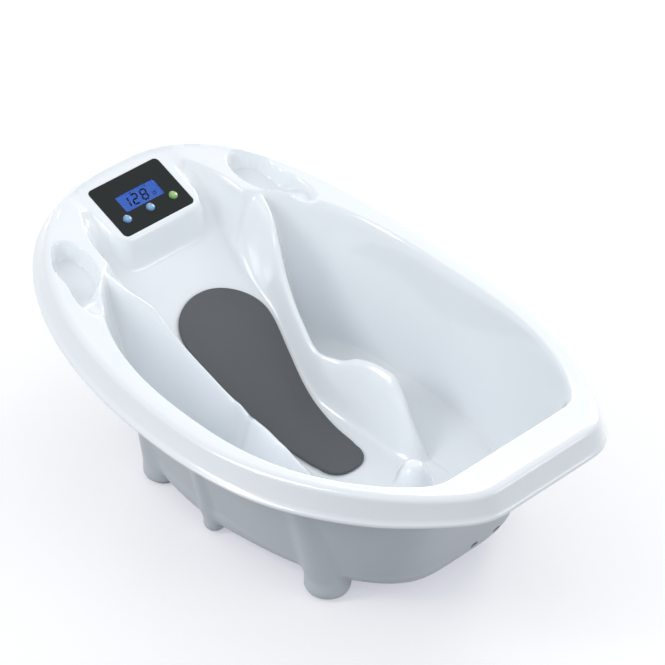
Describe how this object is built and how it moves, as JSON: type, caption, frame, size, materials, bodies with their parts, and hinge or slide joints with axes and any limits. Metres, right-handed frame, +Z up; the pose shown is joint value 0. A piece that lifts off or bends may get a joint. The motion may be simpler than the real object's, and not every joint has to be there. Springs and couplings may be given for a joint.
{
  "type": "baby bath with scale",
  "caption": "White moulded baby bath on a grey footed base, with a reclined padded seat, crotch post, soap dishes and a sloped display panel with push buttons.",
  "frame": {"origin": "floor level under the middle of the length and width", "axes": "+X from the display end to the foot end, +Y to the far side in the pictured view, +Z up"},
  "size_m": [0.8312, 0.5359, 0.28],
  "materials": {
    "tub": "glossy white moulding",
    "base": "satin grey moulding",
    "mat": "soft matt foam rubber",
    "panel": "glossy black",
    "display": "clear window over a blue lit display",
    "lcd": "glossy",
    "diffuser": "satin",
    "board": "satin",
    "silicone": "matt",
    "tray": "satin",
    "blue_button": "glossy",
    "green_button": "glossy",
    "cable": "matt",
    "seal": "matt",
    "steel": "plain",
    "plug": "satin",
    "cell": "plain printed sleeve",
    "rubber": "matt",
    "cap": "satin"
  },
  "bodies": {
    "bath": {"tub_shell": "tub", "base_shell": "base", "seat_mat": "mat", "control_panel": "panel", "display_lens": "display", "lcd_module": "lcd", "backlight_plate": "diffuser", "main_board": "board", "switch_mat": "silicone", "electronics_tray": "tray", "battery_1": "cell", "battery_2": "cell", "battery_3": "cell", "battery_contact_near": "steel", "battery_contact_far": "steel", "tray_screw_1": "steel", "tray_screw_2": "steel", "tray_screw_3": "steel", "tray_screw_4": "steel", "foot_pad_head_near": "rubber", "foot_cap_head_near": "cap", "load_cell_head_near": "steel", "cell_lead_head_near": "cable", "foot_pad_head_far": "rubber", "foot_cap_head_far": "cap", "load_cell_head_far": "steel", "cell_lead_head_far": "cable", "foot_pad_foot_near": "rubber", "foot_cap_foot_near": "cap", "load_cell_foot_near": "steel", "cell_lead_foot_near": "cable", "foot_pad_foot_far": "rubber", "foot_cap_foot_far": "cap", "load_cell_foot_far": "steel", "cell_lead_foot_far": "cable", "junction_board": "board", "harness": "cable", "sensor_grommet": "seal", "temperature_sensor": "steel", "sensor_lead": "cable", "drain_seal": "seal", "case_screw_1": "steel", "case_screw_2": "steel", "case_screw_3": "steel", "case_screw_4": "steel", "case_screw_5": "steel", "case_screw_6": "steel"},
    "power_button": {"power_button": "blue_button"},
    "tare_button": {"tare_button": "blue_button"},
    "hold_button": {"hold_button": "green_button"},
    "battery_door": {"battery_door": "tray"},
    "drain_plug": {"drain_plug": "plug"}
  },
  "joints": [
    {"name": "power_press", "type": "slide", "parent": "bath", "child": "power_button", "axis": [-0.3473, 0, -0.9377], "range_m": [0, 0.001], "stiffness_N_per_m": 1500, "springref_m": -0.0003},
    {"name": "tare_press", "type": "slide", "parent": "bath", "child": "tare_button", "axis": [-0.3473, 0, -0.9377], "range_m": [0, 0.001], "stiffness_N_per_m": 1500, "springref_m": -0.0003},
    {"name": "hold_press", "type": "slide", "parent": "bath", "child": "hold_button", "axis": [-0.3473, 0, -0.9377], "range_m": [0, 0.001], "stiffness_N_per_m": 1500, "springref_m": -0.0003},
    {"name": "battery_door_slide", "type": "slide", "parent": "bath", "child": "battery_door", "axis": [-0.3473, 0, -0.9377], "range_m": [0, 0.03]},
    {"name": "drain_plug_lift", "type": "slide", "parent": "bath", "child": "drain_plug", "axis": [0, 0, 1], "range_m": [0, 0.12]}
  ]
}
